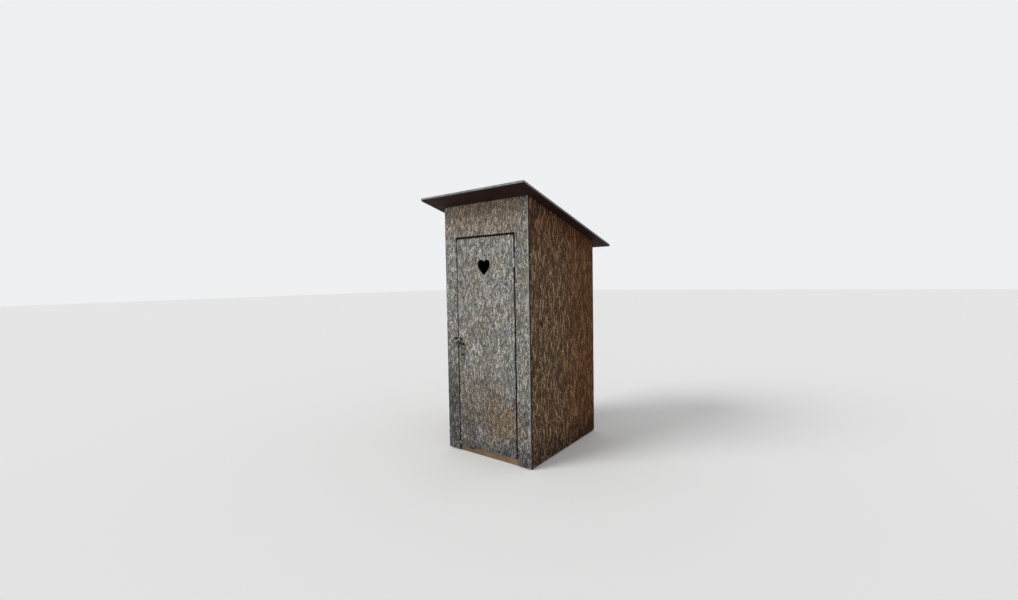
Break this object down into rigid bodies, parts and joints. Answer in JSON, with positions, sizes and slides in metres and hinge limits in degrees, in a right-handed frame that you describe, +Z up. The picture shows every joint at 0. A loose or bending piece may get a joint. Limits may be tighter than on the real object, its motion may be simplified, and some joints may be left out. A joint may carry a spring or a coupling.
{
  "type": "wooden outhouse",
  "caption": "Narrow outhouse of weathered strand board on a timber frame, with a hinged door, heart cut-out, pull handle, padlock and a single-pitch felt roof.",
  "frame": {"origin": "on the ground, in the middle of the roof's footprint", "axes": "+X to the right as seen from the front, the front with its door faces -Y, +Z up"},
  "size_m": [1.153, 1.603, 2.3739],
  "materials": {
    "front_sheet": "weathered strand board, grey with brown strands",
    "door_sheet": "weathered strand board, grey with brown strands",
    "wall_sheet": "strand board with worn dark brown stain",
    "floor_sheet": "raw strand board, dusty",
    "sill_timber": "planed softwood, golden brown, damp at its foot",
    "frame_timber": "sawn softwood, aged",
    "door_timber": "sawn softwood, aged",
    "roof_deck": "dark brown stained board",
    "roof_felt": "bitumen felt with mineral grit, matt",
    "drip_edge": "weathered galvanised sheet",
    "rusty_steel": "dark rusty steel",
    "hinge_steel": "dull galvanised steel with rust at its edges",
    "padlock_case": "worn dark steel",
    "shackle_steel": "bright steel, scratched"
  },
  "bodies": {
    "cabin": {"front_left_panel": "front_sheet", "front_right_panel": "front_sheet", "front_header_panel": "front_sheet", "left_wall": "wall_sheet", "right_wall": "wall_sheet", "back_wall": "wall_sheet", "floor_panel": "floor_sheet", "sill_front": "sill_timber", "sill_back": "sill_timber", "sill_left": "sill_timber", "sill_right": "sill_timber", "floor_joists": "frame_timber", "post_front_left": "frame_timber", "post_front_right": "frame_timber", "post_back_left": "frame_timber", "post_back_right": "frame_timber", "jamb_left": "frame_timber", "jamb_right": "frame_timber", "lintel": "frame_timber", "plate_front": "frame_timber", "plate_back": "frame_timber", "rafter_left": "frame_timber", "rafter_middle": "frame_timber", "rafter_right": "frame_timber", "door_stops": "frame_timber", "roof_deck": "roof_deck", "roof_felt": "roof_felt", "drip_edge_front": "drip_edge", "drip_edge_back": "drip_edge", "drip_edge_left": "drip_edge", "drip_edge_right": "drip_edge", "stile_eye": "rusty_steel", "hinge_frame_leaves": "hinge_steel", "hinge_pins": "hinge_steel"},
    "door": {"door_panel": "door_sheet", "door_batten_hinge": "door_timber", "door_batten_latch": "door_timber", "door_ledger_top": "door_timber", "door_ledger_middle": "door_timber", "door_ledger_bottom": "door_timber", "door_handle": "rusty_steel", "door_eye": "rusty_steel", "padlock_body": "padlock_case", "padlock_shackle": "shackle_steel", "hinge_door_leaves": "hinge_steel"}
  },
  "joints": [
    {"name": "door_hinge", "type": "hinge", "parent": "cabin", "child": "door", "pos_m": [0.329, -0.607, 1.027], "axis": [0, 0, 1], "range_deg": [0, 110]}
  ]
}
